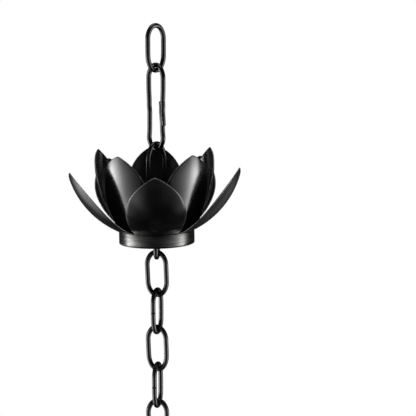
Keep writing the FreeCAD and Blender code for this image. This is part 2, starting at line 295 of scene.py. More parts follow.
def lathe(profile, count):
    """A closed profile of (radius, height) turned about the upright axis."""
    verts = []
    for k in range(count):
        angle = 2 * math.pi * k / count
        verts += [(r * math.cos(angle), r * math.sin(angle), z) for r, z in profile]
    return verts, net_faces(count, len(profile))


def rounded_section(inner, outer, low, high, edge, steps):
    """A closed rectangular section with rounded corners, for the lathe."""
    quarter = math.pi / 2
    corners = (
        (outer - edge, low + edge, -1),
        (outer - edge, high - edge, 0),
        (inner + edge, high - edge, 1),
        (inner + edge, low + edge, 2),
    )
    section = []
    for r, z, start in corners:
        section += arc(r, z, edge, start * quarter, (start + 1) * quarter, steps)
    return section


def turned(verts, turn, height):
    """Points turned about the chain's line and lifted to their height."""
    matrix = Matrix.Translation((0, 0, height)) @ Matrix.Rotation(turn, 4, "Z")
    return [matrix @ Vector(v) for v in verts]


def set_in_cup(verts, cup, lean, turn=0.0):
    """Points turned and lifted to a cup's ring. Those of the first cup lean as well."""
    lean = lean if cup == CUPS[0] else 0.0
    place = Matrix.Translation((0, 0, ring_top(cup))) @ Matrix.Rotation(-lean, 4, "Y")
    place = place @ Matrix.Rotation(turn, 4, "Z")
    return [place @ Vector(v) for v in verts]


def eased(share):
    """A share from 0 to 1 that sets out and arrives gently."""
    return share * share * (3 - 2 * share)


def below(values, level, blur):
    """1 where the values are below the level and 0 above it, with a soft change."""
    return 1 / (1 + np.exp((values - level) / blur))


# Links

WIRE_SIDES = 20
LINE_STEPS = 60

# A butted seam: the points close to its cut, where the even ones begin and how many they are,
# its swell and the rounding of its rims, each with its reach
NEAR_CUT = np.array([0.0, 0.00006, 0.0002, 0.0005, 0.0011])
EVEN_FROM, EVEN_COUNT = 0.0019, 112
SWELL, SWELL_REACH = 0.035, 0.0012
ROUNDING, ROUNDING_REACH = 0.00034, 0.00014

# The narrower lower ends of the ordinary links: height where they begin, run, and how much
NARROW_FROM, NARROW_RUN = -0.002, 0.011
NARROWING = 0.035
# The link under the first cup, in which the next one hangs closest, is narrowed less
FIRST_LINK_BELOW = 2
LEAST_NARROWING = 0.012

# The long link's slanting seam: sides of its wire, height of its top and foot, how far the inner
# and the outer wire end stand out, depth and width of the line between them, and its blur
SCARF_SIDES = 40
SCARF_TOP, SCARF_FOOT = 0.0052, -0.0155
INNER_END, OUTER_END = 0.0016, 0.001
CREASE_DEPTH, CREASE_WIDTH, CREASE_BLUR = 0.00042, 0.0002, 0.00006
# Where that line crosses the wire at the seam's top, and how far it slants outward, in wire radii
CROSSING, SLANT = -0.35, 0.9

# The long link's legs: how far they are drawn in between two heights and about a third one, each
# with its blur or width, and the points along its wire
LOW_DRAWN_IN, LOW_TOP, LOW_TOP_BLUR, LOW_FOOT, LOW_FOOT_BLUR = 0.0009, -0.0015, 0.0012, -0.024, 0.002
WAIST_DRAWN_IN, WAIST, WAIST_WIDTH = 0.0005, 0.004, 0.008
LONG_LINK_STEPS = 420

# A link taller than this is the long one
LONG_LINK = 0.06
# Where the seam lies, a share of the way round, in links seen face on and edge on, and the sine
# of the turn from which a link is seen edge on
SEAM_FACE_ON, SEAM_EDGE_ON, EDGE_ON = 0.75, 0.0, 0.6
# How far the first links hang askew, in degrees, their feet to the right, and the others at most
ASKEW = (0.0, 0.0, 2.2, 0.6, 2.0, 0.5)
OTHERS_ASKEW = 1.1


def link_line(half_length, wires):
    """The centreline of an oval link, and its length so far at each point.

    It runs from the middle of the link's left side up, round and back."""
    tip, shoulder, half_width = wires.end_radius, wires.shoulder_radius, wires.half_width
    bend = math.acos((shoulder - half_width) / (shoulder - tip))
    straight = half_length - tip - (shoulder - tip) * math.sin(bend)
    quarter = [(half_width, straight * step / LINE_STEPS) for step in range(LINE_STEPS)]
    quarter += arc(half_width - shoulder, straight, shoulder, 0, bend, LINE_STEPS)[:-1]
    quarter += arc(0, half_length - tip, tip, bend, math.pi / 2, LINE_STEPS)
    up = [(-x, z) for x, z in quarter] + quarter[-2::-1]
    down = [(x, -z) for x, z in up[-2::-1]]
    line = np.array(up + down)
    steps = np.linalg.norm(np.diff(line, axis=0), axis=1)
    return line, np.concatenate([[0], np.cumsum(steps)])


def resample(line, so_far, places):
    """Points of a line at the given lengths along it, as 3-D points in the XZ plane."""
    x = np.interp(places, so_far, line[:, 0])
    z = np.interp(places, so_far, line[:, 1])
    return np.stack([x, np.zeros_like(x), z], 1)


def butted_link(half_length, wires, start, narrowing):
    """A link whose two wire ends butt at the place start, a share of the way round.

    The seam has a fine gap and a slight swell. The lower end is closed a little narrower."""
    line, so_far = link_line(half_length, wires)
    whole = so_far[-1]
    wire = whole - wires.seam
    even = np.linspace(EVEN_FROM, wire - EVEN_FROM, EVEN_COUNT)
    places = np.concatenate([NEAR_CUT, even, wire - NEAR_CUT[::-1]])
    near = np.minimum(places, wire - places)
    radii = wires.radius * (1 + SWELL * np.exp(-((near / SWELL_REACH) ** 2)))
    radii -= ROUNDING * np.exp(-near / ROUNDING_REACH)
    path = resample(line, so_far, (places + wires.seam / 2 + start * whole) % whole)
    path[:, 0] *= 1 - narrowing * eased(np.clip((NARROW_FROM - path[:, 2]) / NARROW_RUN, 0, 1))
    return round_wire(path, radii, WIRE_SIDES)


def scarfed_link(half_length, wires):
    """The long link: its wire ends lie slanting side by side on its right leg.

    Its legs are drawn in a little, most of all below the middle."""
    line, so_far = link_line(half_length, wires)
    path = resample(line, so_far, np.linspace(0, so_far[-1], LONG_LINK_STEPS, endpoint=False))
    height = path[:, 2]
    drawn_in = LOW_DRAWN_IN * below(height, LOW_TOP, LOW_TOP_BLUR)
    drawn_in *= 1 - below(height, LOW_FOOT, LOW_FOOT_BLUR)
    drawn_in += WAIST_DRAWN_IN * np.exp(-(((height - WAIST) / WAIST_WIDTH) ** 2))
    path[:, 0] -= np.sign(path[:, 0]) * drawn_in
    share = (SCARF_TOP - height) / (SCARF_TOP - SCARF_FOOT)
    on_leg = (path[:, 0] > 0.004) & (share > -0.05) & (share < 1.05)
    outward = np.cos(2 * math.pi * np.arange(SCARF_SIDES) / SCARF_SIDES)
    shift = np.zeros((len(path), SCARF_SIDES))
    for i in np.nonzero(on_leg)[0]:
        t = min(max(share[i], 0), 1)
        apart = (outward - CROSSING - SLANT * t) * wires.radius
        inner = below(apart, 0, CREASE_BLUR)
        if share[i] > 0:
            shift[i] -= INNER_END * (1 - t) * inner * outward * (outward < 0)
        if share[i] < 1:
            shift[i] += OUTER_END * t * (1 - inner) * outward * (outward > 0)
        if share[i] > -0.03:
            crease = CREASE_DEPTH * min(1, 8 * share[i] + 0.4)
            shift[i] -= crease * np.exp(-((apart / CREASE_WIDTH) ** 2))
    return round_wire(path, np.full(len(path), wires.radius), SCARF_SIDES, True, shift)


class CHAIN_OT_links(bpy.types.Operator):
    """Bends the links, each with its closed seam"""

    bl_idname = "rain_chain.links"
    bl_label = "Wire Links"

    def execute(self, context):
        wires = context.scene.rain_chain_wires
        finishes = context.scene.rain_chain_finishes
        mat = material("wire_coat", black_coat, finishes, shine=0.2, gloss=0.33, peel=0.015)
        for number, name in enumerate(LINKS):
            low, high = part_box(name)
            turn = turn_of(points_of(name))
            half_length = (high.z - low.z) / 2 - wires.radius
            if high.z - low.z > LONG_LINK:
                verts, faces = scarfed_link(half_length, wires)
            else:
                seam = SEAM_EDGE_ON if abs(math.sin(turn)) > EDGE_ON else SEAM_FACE_ON
                narrowing = LEAST_NARROWING if number == FIRST_LINK_BELOW else NARROWING
                verts, faces = butted_link(half_length, wires, seam, narrowing)
            askew = OTHERS_ASKEW * math.sin(7.7 * number)
            if number < len(ASKEW):
                askew = ASKEW[number]
            leaning = Matrix.Rotation(-math.radians(askew), 3, "Y")
            placed = turned([leaning @ Vector(v) for v in verts], turn, (high.z + low.z) / 2)
            add_piece(f"{name}_wire", placed, faces, mat, name, name)
        return {"FINISHED"}


# Flowers

# Faces across and along a petal, in the gap between two and from the rim to the drain hole
ACROSS, ALONG, GAP_STEPS, FLOOR_RINGS = 24, 40, 7, 7
# Where a petal's net begins on its chord, how far its last row stays from the very tip, how much
# closer the rows get to the tip, and how far inside the base its fold meets the floor
ROOT, TIP_CLEAR, TIP_CROWDING, FOLD = 0.0028, 0.00003, 1.7, 0.0015
# The range in which a petal's dished surface is sought, and how often it is halved
SOUGHT, HALVINGS = (-0.04, 0.03), 44
# Height above the floor within which a petal bent by hand takes up its lift
LIFT_RUN = 0.012
# A rounded sheet edge: the angles of its points in degrees, and its mark on the sheet beside it
# The edge marks tell the coat where to lay its painted highlight
EDGE_POINTS, EDGE_MARK = (50, 18, -18, -50), 0.35
# How near to the furthest and to the highest point the points of the petals' tips lie
TIP_REACH, TIP_DROP = 0.0015, 0.0002

# The first cup's petals, each with its turn, lift and stretch, from the front one round to the
# right, and how large the small ones of the other cups are
HAND_BENT = {
    "outer": ((0, 0, 0), (0, 0, 0), (0.02, 0.045, 0), (-0.015, 0.055, 0), (0, 0, 0)),
    "inner": ((0.04, 0, 0), (0, 0, 0.012), (0, 0, 0), (0, -0.028, 0.02), (-0.045, 0, 0)),
}
SMALL_TURN, SMALL_LIFT, SMALL_STRETCH = 0.012, 0.014, 0.006


class PetalForm:
    """The outline and dishing of one flower's petals, in metres.

    A petal runs from base to its tip on a bend, dished about a line that starts on the axis
    dish_up above the floor and rises by dish_tilt degrees. It is widest at widest along its
    chord, where it is half_width to each side. Its outline has the radius flank below that and
    point at the tip."""

    point = 0.004

    def __init__(
        self, base, tip_out, tip_up, bend, dish_up, dish_tilt, half_width, widest, flank, floor
    ):
        self.base, self.tip_out, self.tip_up, self.bend = base, tip_out, tip_up, bend
        self.dish_up, self.dish_tilt = dish_up, math.radians(dish_tilt)
        self.half_width, self.widest, self.flank, self.floor = half_width, widest, flank, floor

    def half_wide(self, s, chord, inset):
        """Half the petal's width at s along its chord."""
        tip, half_width = self.point, self.half_width
        past, run = s - self.widest, chord - self.point - self.widest
        crown = (half_width**2 + run**2 - tip**2) / (2 * (half_width - tip))
        meet = chord - tip + tip * run / math.hypot(run, crown - half_width)
        low = half_width - self.flank + np.sqrt((self.flank - inset) ** 2 - past**2)
        middle = half_width - crown + np.sqrt(np.maximum((crown - inset) ** 2 - past**2, 0))
        top = np.sqrt(np.maximum((tip - inset) ** 2 - (s - chord + tip) ** 2, 0))
        return np.where(s < self.widest, low, np.where(s < meet, middle, top))

    def surface(self, s, y, sheet):
        """Points of the middle surface at s along the chord and y across it, facing +X."""
        base = np.array([self.base, self.floor])
        tip = np.array([self.tip_out, self.floor + self.tip_up])
        rise = math.atan2(*(tip - base)[::-1])
        along = np.array([math.cos(rise), math.sin(rise)])
        outward = np.array([math.sin(rise), -math.cos(rise)])
        half = math.asin(self.chord() / 2 / self.bend)
        centre = (base + tip) / 2 - outward * self.bend * math.cos(half)
        start = np.array([0, self.floor + self.dish_up])
        line = np.array([math.cos(self.dish_tilt), math.sin(self.dish_tilt)])
        away = np.array([math.sin(self.dish_tilt), -math.cos(self.dish_tilt)])
        low, high = (np.full(s.shape, side) for side in SOUGHT)
        for _ in range(HALVINGS):
            h = (low + high) / 2
            flat = base + s[..., None] * along + h[..., None] * outward
            a = (flat - start) @ line
            b = (flat - start) @ away
            swung = start + a[..., None] * line + np.sqrt(b * b + y * y)[..., None] * away
            over = np.linalg.norm(swung - centre, axis=-1) > self.bend - sheet / 2
            high = np.where(over, h, high)
            low = np.where(over, low, h)
        flat = base + s[..., None] * along + ((low + high) / 2)[..., None] * outward
        return np.stack([flat[..., 0], y, flat[..., 1]], -1)

    def chord(self):
        """The straight length from base to tip."""
        return math.hypot(self.tip_out - self.base, self.tip_up)


def petal_net(form, sheet):
    """One petal's middle surface, facing +X, from its fold at the floor's rim to its tip."""
    inset = sheet / 2
    chord = form.chord()
    t = np.linspace(0, 1, ALONG)
    s = ROOT + (chord - inset - TIP_CLEAR - ROOT) * (1 - (1 - t) ** TIP_CROWDING)
    across = form.half_wide(s, chord, inset)[:, None] * np.linspace(-1, 1, ACROSS + 1)
    grid = form.surface(np.repeat(s[:, None], ACROSS + 1, 1), across, sheet)
    level, rim = form.floor + inset, form.base - FOLD
    y0 = grid[0, :, 1]
    floor_row = np.stack([np.sqrt(rim**2 - y0**2), y0, np.full(ACROSS + 1, level)], -1)
    slope = grid[1] - grid[0]
    bend = grid[0] - slope * ((grid[0, :, 2] - level) / slope[:, 2])[:, None]
    rows = [floor_row]
    for u in (0.25, 0.5, 0.75):
        rows.append((1 - u) ** 2 * floor_row + 2 * u * (1 - u) * bend + u * u * grid[0])
    return np.array(rows + list(grid)), rim, level


def bent(petal, base, level, lift, stretch):
    """A petal bent up a little about its root and drawn a little longer."""
    out, up = petal[..., 0] - base, petal[..., 2] - level
    share = np.clip(up / LIFT_RUN, 0, 1)
    angle = lift * eased(share)
    longer = 1 + stretch * share
    x = base + longer * (out * np.cos(angle) - up * np.sin(angle))
    z = level + longer * (out * np.sin(angle) + up * np.cos(angle))
    return np.stack([x, petal[..., 1], z], -1)


def flower_net(form, sheet, drain, hand):
    """A flower's middle surface: a floor with a drain hole that runs out into its petals.

    The first petal faces +X. hand gives each petal's own small turn, lift and stretch."""
    petal, rim, level = petal_net(form, sheet)
    half = math.asin(petal[0, -1, 1] / rim)
    count = petal.shape[0] * petal.shape[1]
    points, faces, middles = [], [], []
    for k, (turn, lift, stretch) in enumerate(hand):
        angle = 2 * math.pi * k / PETALS + turn
        middles.append(angle)
        cos, sin = math.cos(angle), math.sin(angle)
        way = np.array([[cos, -sin, 0], [sin, cos, 0], [0, 0, 1]])
        points += list((bent(petal, form.base, level, lift, stretch) @ way.T).reshape(-1, 3))
        for face in net_faces(petal.shape[0], petal.shape[1], False, False):
            faces.append(tuple(k * count + i for i in face))
    ring = []
    for k in range(PETALS):
        ring += [k * count + j for j in range(ACROSS + 1)]
        first = middles[k] + half
        last = middles[(k + 1) % PETALS] - half + (2 * math.pi if k == PETALS - 1 else 0)
        for step in range(1, GAP_STEPS):
            angle = first + (last - first) * step / GAP_STEPS
            ring.append(len(points))
            points.append(np.array([rim * math.cos(angle), rim * math.sin(angle), level]))
    hole = drain + sheet / 2
    for step in range(1, FLOOR_RINGS + 1):
        radius = rim + (hole - rim) * step / FLOOR_RINGS
        inner = []
        for index in ring:
            x, y = points[index][:2]
            scale = radius / math.hypot(x, y)
            inner.append(len(points))
            points.append(np.array([x * scale, y * scale, level]))
        for i in range(len(ring)):
            j = (i + 1) % len(ring)
            faces.append((ring[i], ring[j], inner[j], inner[i]))
        ring = inner
    return np.array(points), faces


def open_loops(faces):
    """The loops of points round the open edges of a sheet of four-sided faces."""
    sides = {(face[i], face[(i + 1) % 4]) for face in faces for i in range(4)}
    ahead = {p: q for p, q in sides if (q, p) not in sides}
    while ahead:
        start = next(iter(ahead))
        loop, here = [start], ahead.pop(start)
        while here != start:
            loop.append(here)
            here = ahead.pop(here)
        yield loop


def thicken(points, faces, sheet):
    """A sheet of even thickness about a middle surface, its edges fully rounded.

    Returns points, faces and how near each point is to an edge, from 0 to 1."""
    quads = np.array(faces)
    a, b, c, d = (points[quads[:, i]] for i in range(4))
    normals = np.cross(c - a, d - b)
    at = np.zeros_like(points)
    for i in range(4):
        np.add.at(at, quads[:, i], normals)
    at /= np.linalg.norm(at, axis=1)[:, None]
    half, n = sheet / 2, len(points)
    verts = [*(points + half * at), *(points - half * at)]
    edge = [0.0] * (2 * n)
    out = [tuple(f) for f in faces] + [tuple(n + i for i in reversed(f)) for f in faces]
    for loop in open_loops(faces):
        strips = []
        for i, p in enumerate(loop):
            away = np.cross(points[loop[(i + 1) % len(loop)]] - points[loop[i - 1]], at[p])
            away /= np.linalg.norm(away)
            ids = [p]
            for degrees in EDGE_POINTS:
                angle = math.radians(degrees)
                ids.append(len(verts))
                verts.append(points[p] + half * (math.cos(angle) * away + math.sin(angle) * at[p]))
                edge.append(1.0)
            edge[p] = edge[n + p] = EDGE_MARK
            strips.append([*ids, n + p])
        for one, two in zip(strips, strips[1:] + strips[:1]):
            for j in range(len(EDGE_POINTS) + 1):
                out.append((one[j], one[j + 1], two[j + 1], two[j]))
    return verts, out, edge


def flower_turn(cup):
    """How far a cup's flower is turned from having a petal at the front, from its petals' tips."""
    points = points_of(f"{cup}_outer_petals")
    reach = np.hypot(points[:, 0], points[:, 1])
    tips = points[reach > reach.max() - TIP_REACH]
    angle = PETALS * (np.arctan2(tips[:, 1], tips[:, 0]) + math.pi / 2)
    return math.atan2(np.sin(angle).mean(), np.cos(angle).mean()) / PETALS


def inner_reach(cup):
    """How far out the inner petals' tips stand."""
    points = points_of(f"{cup}_inner_petals")
    tips = points[points[:, 2] > points[:, 2].max() - TIP_DROP]
    return float(np.hypot(tips[:, 0], tips[:, 1]).mean())


def by_hand(which, cup):
    """Each petal's small turn, lift and stretch, as bending by hand leaves them."""
    number = CUPS.index(cup)
    if number == 0:
        return HAND_BENT[which]
    start = 0 if which == "outer" else 4.1
    wave = [math.sin(12.9 * (number * PETALS + k) + start) for k in range(PETALS)]
    return [
        (SMALL_TURN * w, SMALL_LIFT * v, SMALL_STRETCH * w)
        for w, v in zip(wave, wave[2:] + wave[:2])
    ]


def lay_flower(context, cup, which, form, lean, facing):
    """Builds one pressed flower in its cup."""
    sizes = context.scene.rain_chain_cups
    points, faces = flower_net(form, sizes.sheet, sizes.drain_radius, by_hand(which, cup))
    verts, polygons, edge = thicken(points, faces, sizes.sheet)
    mat = material("petal_coat", black_coat, context.scene.rain_chain_finishes, shine=0.2)
    placed = set_in_cup(verts, cup, lean, facing + flower_turn(cup))
    node = f"{cup}_{which}_petals"
    add_piece(f"{cup}_{which}", placed, polygons, mat, cup, node, edge)


class CHAIN_OT_outer_petals(bpy.types.Operator):
    """Presses the low, spread flowers"""

    bl_idname = "rain_chain.outer_petals"
    bl_label = "Outer Petals"

    def execute(self, context):
        form = PetalForm(
            base=0.0335, tip_out=0.0758, tip_up=0.054, bend=0.078, dish_up=0.064, dish_tilt=0.0,
            half_width=0.0249, widest=0.031, flank=0.078, floor=0.0,
        )
        lean = context.scene.rain_chain_cups.lean
        for cup in CUPS:
            lay_flower(context, cup, "outer", form, lean, -math.pi / 2)
        return {"FINISHED"}


class CHAIN_OT_inner_petals(bpy.types.Operator):
    """Presses the high, steep flowers"""

    bl_idname = "rain_chain.inner_petals"
    bl_label = "Inner Petals"

    def execute(self, context):
        lean = context.scene.rain_chain_cups.lean / 2
        for cup in CUPS:
            form = PetalForm(
                base=0.032, tip_out=inner_reach(cup), tip_up=0.0671, bend=0.092, dish_up=0.0288,
                dish_tilt=71.7, half_width=0.0242, widest=0.036, flank=0.09, floor=0.001,
            )
            lay_flower(context, cup, "inner", form, lean, -math.pi / 2 + math.pi / PETALS)
        return {"FINISHED"}


# Base rings and hangers

# The base ring: steps round it, radius of its corners and points in each, height of the painted dark
# reflection at its foot
RING_STEPS, RING_CORNER, CORNER_STEPS, DARK_REFLECTION_HEIGHT = 160, 0.0005, 4, 0.0012

# The washer: its bore's radius, thickness, margin outside the bail, corners and steps round it
WASHER_BORE, WASHER_THICK, WASHER_MARGIN = 0.0035, 0.0016, 0.0015
WASHER_CORNER, WASHER_CORNER_STEPS, WASHER_STEPS = 0.0004, 3, 72
# The bail's shoulder bend, and how deep the wire's ends stand in the washer
BAIL_SHOULDER, SUNK = 0.026, 0.0008
# Steps along a bail's or an eye's leg, its shoulder and half its bend
LEG_STEPS, SHOULDER_STEPS, BEND_STEPS = 39, 16, 24
# Heights above and below a ring's top past which a hanger's points are all of its bail or its eye
BAIL_FROM, EYE_FROM = 0.03, -0.008
# A weld bead: points round it and up it, width of its foot, height, and how deep it is set
BEAD_COUNT, BEAD_ROWS, BEAD_WIDTH, BEAD_HEIGHT, BEAD_SUNK = 36, 7, 0.0013, 0.002, 0.0001


class CHAIN_OT_base_rings(bpy.types.Operator):
    """Turns the brushed bands under the flowers"""

    bl_idname = "rain_chain.base_rings"
    bl_label = "Base Rings"

    def execute(self, context):
        sizes = context.scene.rain_chain_cups
        mat = material("brushed_band", brushed_band, context.scene.rain_chain_finishes)
        outer, foot = sizes.ring_radius, -sizes.ring_height
        section = rounded_section(
            outer - sizes.ring_wall, outer, foot, 0, RING_CORNER, CORNER_STEPS
        )
        # The band's lowest strip is marked for a painted dark reflection
        dark_reflection_top = DARK_REFLECTION_HEIGHT + foot
        after_corner = CORNER_STEPS + 1
        section[after_corner:after_corner] = [(outer, dark_reflection_top), (outer, dark_reflection_top + RING_CORNER)]
        verts, faces = lathe(section, RING_STEPS)
        dark_reflection = [1.0 if z <= dark_reflection_top else 0.0 for r, z in section] * RING_STEPS
        for cup in CUPS:
            placed = set_in_cup(verts, cup, sizes.lean / 2)
            node = f"{cup}_base_ring"
            add_piece(f"{cup}_band", placed, faces, mat, cup, node, dark_reflection)
        return {"FINISHED"}


def u_wire(radius, tip, shoulder, bend_at, end_at, turn, wires):
    """A U of wire about the chain's line, its ends at one height and its bend at another."""
    way = 1 if bend_at > end_at else -1
    bend = math.acos((shoulder - radius) / (shoulder - tip)) if shoulder > tip else 0.0
    top = bend_at - way * (tip + (shoulder - tip) * math.sin(bend))
    half = [(radius, z) for z in np.linspace(end_at, top, LEG_STEPS + 1)]
    if bend:
        half += arc(radius - shoulder, top, shoulder, 0, way * bend, SHOULDER_STEPS)[1:]
    half += arc(0, bend_at - way * tip, tip, way * bend, way * math.pi / 2, BEND_STEPS)[1:]
    path = [(-x, 0, z) for x, z in half] + [(x, 0, z) for x, z in half[-2::-1]]
    verts, faces = round_wire(path, np.full(len(path), wires.radius), WIRE_SIDES)
    return turned(verts, turn, 0), faces


def weld_bead(radius, turn, height, wires):
    """A lumpy fillet of weld round one foot of the bail."""
    verts = []
    for k in range(BEAD_COUNT):
        angle = 2 * math.pi * k / BEAD_COUNT
        lump = 1 + 0.12 * math.sin(5 * angle + radius * 900) + 0.06 * math.sin(11 * angle)
        for row in range(BEAD_ROWS):
            rise = row / (BEAD_ROWS - 1)
            fillet = BEAD_WIDTH * lump * (1 - math.sin(rise * math.pi / 2)) ** 0.8
            spread = wires.radius * 0.98 + fillet
            x, y = radius + spread * math.cos(angle), spread * math.sin(angle)
            verts.append((x, y, height + BEAD_HEIGHT * lump * rise))
    faces = net_faces(BEAD_COUNT, BEAD_ROWS, columns_closed=False)
    faces.append(tuple(range(0, len(verts), BEAD_ROWS))[::-1])
    faces.append(tuple(range(BEAD_ROWS - 1, len(verts), BEAD_ROWS)))
    return turned(verts, turn, 0), faces


class CHAIN_OT_hangers(bpy.types.Operator):
    """Bends each cup's bail and eye and welds them to their washer"""

    bl_idname = "rain_chain.hangers"
    bl_label = "Hangers"

    def execute(self, context):
        wires = context.scene.rain_chain_wires
        finishes = context.scene.rain_chain_finishes
        mat = material("hanger_coat", black_coat, finishes, shine=0.3, gloss=0.28)
        wide, narrow = wires.bail_radius, wires.eye_radius
        seat = 2 * context.scene.rain_chain_cups.sheet
        top = seat + WASHER_THICK
        rim = wide + wires.radius + WASHER_MARGIN
        washer = lathe(
            rounded_section(WASHER_BORE, rim, seat, top, WASHER_CORNER, WASHER_CORNER_STEPS),
            WASHER_STEPS,
        )
        for cup in CUPS:
            node = f"{cup}_hanger"
            points = points_of(node)
            level = ring_top(cup)
            low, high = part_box(node)
            bail_turn = turn_of(points[points[:, 2] > level + BAIL_FROM])
            eye_turn = turn_of(points[points[:, 2] < level + EYE_FROM])
            bail_top, eye_foot = high.z - level - wires.radius, low.z - level + wires.radius
            bail = u_wire(
                wide, wires.end_radius, BAIL_SHOULDER, bail_top, top - SUNK, bail_turn, wires
            )
            eye = u_wire(narrow, narrow, narrow, eye_foot, seat + SUNK, eye_turn, wires)
            beads = [weld_bead(x, bail_turn, top - BEAD_SUNK, wires) for x in (-wide, wide)]
            verts, faces = join_shells(bail, eye, washer, *beads)
            placed = turned(verts, 0, level)
            add_piece(f"{cup}_bail", placed, faces, mat, cup, node)
        return {"FINISHED"}


# Drop

# The drop's rows of corners: how far down its length, and how wide as a share of its width
DROP_ROWS = (
    (0.0, 0.20), (0.10, 0.45), (0.28, 0.74), (0.48, 0.94),
    (0.62, 1.0), (0.80, 0.84), (0.93, 0.5), (1.0, 0.2),
)
# The drop's neck: radius, radius of its hole, thickness, how deep it stands in the facets, steps
NECK, NECK_HOLE, NECK_THICK, NECK_SUNK, NECK_STEPS = 0.0042, 0.0018, 0.004, 0.005, 48
# The bevel of the facets' edges, and the least angle between facets that gets one
FACET_BEVEL, FACET_ANGLE = 0.0001, math.radians(8)
# The jump ring's gap, where it lies in the ring, steps along it and sides of its wire
RING_GAP, RING_GAP_AT, RING_WIRE_STEPS, RING_WIRE_SIDES = 0.0003, 0.9, 96, 16


class CHAIN_OT_drop_ring(bpy.types.Operator):
    """Bends the jump ring that holds the drop"""

    bl_idname = "rain_chain.drop_ring"
    bl_label = "Jump Ring"

    def execute(self, context):
        sizes = context.scene.rain_chain_drop
        low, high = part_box("drop_ring")
        half_gap = RING_GAP / sizes.ring_radius / 2
        first, last = RING_GAP_AT + half_gap, RING_GAP_AT + 2 * math.pi - half_gap
        line = arc(0, 0, sizes.ring_radius, first, last, RING_WIRE_STEPS)
        path = [(x, 0, z) for x, z in line]
        verts, faces = round_wire(path, np.full(len(path), sizes.ring_wire), RING_WIRE_SIDES)
        placed = turned(verts, turn_of(points_of("drop_ring")), (low.z + high.z) / 2)
        mat = material("bright_wire", bright_wire, context.scene.rain_chain_finishes)
        add_piece("drop_ring_wire", placed, faces, mat, "drop_ring", "drop_ring")
        return {"FINISHED"}


def cut_glass(sizes, top):
    """The drop's facets: rows of triangles, each row turned half a facet from the next."""
    mesh = bmesh.new()
    rows = []
    for row, (down, wide) in enumerate(DROP_ROWS):
        half_step = math.pi / sizes.sides * (row % 2)
        reach, z = wide * sizes.width / 2, top - down * sizes.length
        corners = arc(0, 0, reach, half_step, half_step + 2 * math.pi, sizes.sides)[:-1]
        rows.append([mesh.verts.new((x, y, z)) for x, y in corners])
    for number, (upper, lower) in enumerate(zip(rows, rows[1:])):
        for k in range(sizes.sides):
            m = (k + 1) % sizes.sides
            if number % 2 == 0:
                mesh.faces.new((upper[k], lower[k], upper[m]))
                mesh.faces.new((upper[m], lower[k], lower[m]))
            else:
                mesh.faces.new((upper[k], lower[k], lower[m]))
                mesh.faces.new((upper[k], lower[m], upper[m]))
    mesh.faces.new(rows[0])
    mesh.faces.new(rows[-1][::-1])
    bmesh.ops.recalc_face_normals(mesh, faces=mesh.faces[:])
    return mesh


def glass_neck(foot):
    """The drop's neck: a plate with a round top and a hole through it."""
    mesh = bmesh.new()
    outline = arc(0, 0, NECK, 0, math.pi, NECK_STEPS // 2) + [(-NECK, foot), (NECK, foot)]
    hole = arc(0, 0, NECK_HOLE, 0, 2 * math.pi, NECK_STEPS)[:-1]
    outer, inner = (
        [[mesh.verts.new((x, y, z)) for x, z in line] for y in (NECK_THICK / 2, -NECK_THICK / 2)]
        for line in (outline, hole)
    )
    for a, b in ((outer[0], outer[1]), (inner[1], inner[0])):
        for k in range(len(a)):
            m = (k + 1) % len(a)
            mesh.faces.new((a[k], a[m], b[m], b[k]))
    for loops in zip(outer, inner):
        edges = []
        for loop in loops:
            edges += [mesh.edges.get(pair) for pair in zip(loop, loop[1:] + loop[:1])]
        bmesh.ops.triangle_fill(mesh, use_beauty=True, edges=edges)
    bmesh.ops.recalc_face_normals(mesh, faces=mesh.faces[:])
    return mesh


class CHAIN_OT_drop(bpy.types.Operator):
    """Cuts the glass drop with its neck"""

    bl_idname = "rain_chain.drop"
    bl_label = "Glass Drop"

    def execute(self, context):
        sizes = context.scene.rain_chain_drop
        low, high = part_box("drop")
        centre = high.z - NECK
        top = low.z + sizes.length - centre
        shells = []
        for mesh in (cut_glass(sizes, top), glass_neck(top - NECK_SUNK)):
            data = bpy.data.meshes.new("drop_shell")
            mesh.to_mesh(data)
            mesh.free()
            shells.append(bpy.data.objects.new("drop_shell", data))
            context.scene.collection.objects.link(shells[-1])
        facets, neck = shells
        union = facets.modifiers.new("neck", "BOOLEAN")
        union.operation = "UNION"
        union.solver = "EXACT"
        union.object = neck
        bevel = facets.modifiers.new("facet_edges", "BEVEL")
        bevel.width = FACET_BEVEL
        bevel.segments = 1
        bevel.limit_method = "ANGLE"
        bevel.angle_limit = FACET_ANGLE
        context.view_layer.update()
        done = facets.evaluated_get(context.evaluated_depsgraph_get())
        solid = bpy.data.meshes.new_from_object(done)
        turn = turn_of(points_of("drop_ring")) + math.pi / 2
        verts = turned([v.co for v in solid.vertices], turn, centre)
        faces = [tuple(p.vertices) for p in solid.polygons]
        for obj in shells:
            bpy.data.objects.remove(obj)
        mat = material("cut_amber", amber_glass, context.scene.rain_chain_finishes)
        drop = add_piece("drop_glass", verts, faces, mat, "drop", "drop")
        drop.data.polygons.foreach_set("use_smooth", [False] * len(drop.data.polygons))
        return {"FINISHED"}


# Making materials

def feed(tree, socket, value):
    """Joins an output to a socket, or sets the socket to a plain value."""
    if isinstance(value, bpy.types.NodeSocket):
        tree.links.new(value, socket)
    else:
        socket.default_value = value


def add_node(tree, kind, **values):
    """A node of the tree with its properties set and its inputs fed."""
    node = tree.nodes.new(f"ShaderNode{kind}")
    for key, value in values.items():
        if hasattr(node, key):
            setattr(node, key, value)
        else:
            feed(tree, node.inputs[key.replace("_", " ")], value)
    return node


def dress(tree, **values):
    """A material's main shader with its inputs fed."""
    shader = tree.nodes["Principled BSDF"]
    for key, value in values.items():
        feed(tree, shader.inputs[key.replace("_", " ")], value)
    return shader


def material(name, build, *settings, **more):
    """The material of this name, built if there is none yet."""
    mat = bpy.data.materials.get(name)
    if mat is None:
        mat = bpy.data.materials.new(name)
        mat.use_nodes = True
        build(mat.node_tree, *settings, **more)
    return mat


def over_object(tree):
    """The place on the object, for patterns."""
    return add_node(tree, "TexCoord").outputs["Object"]


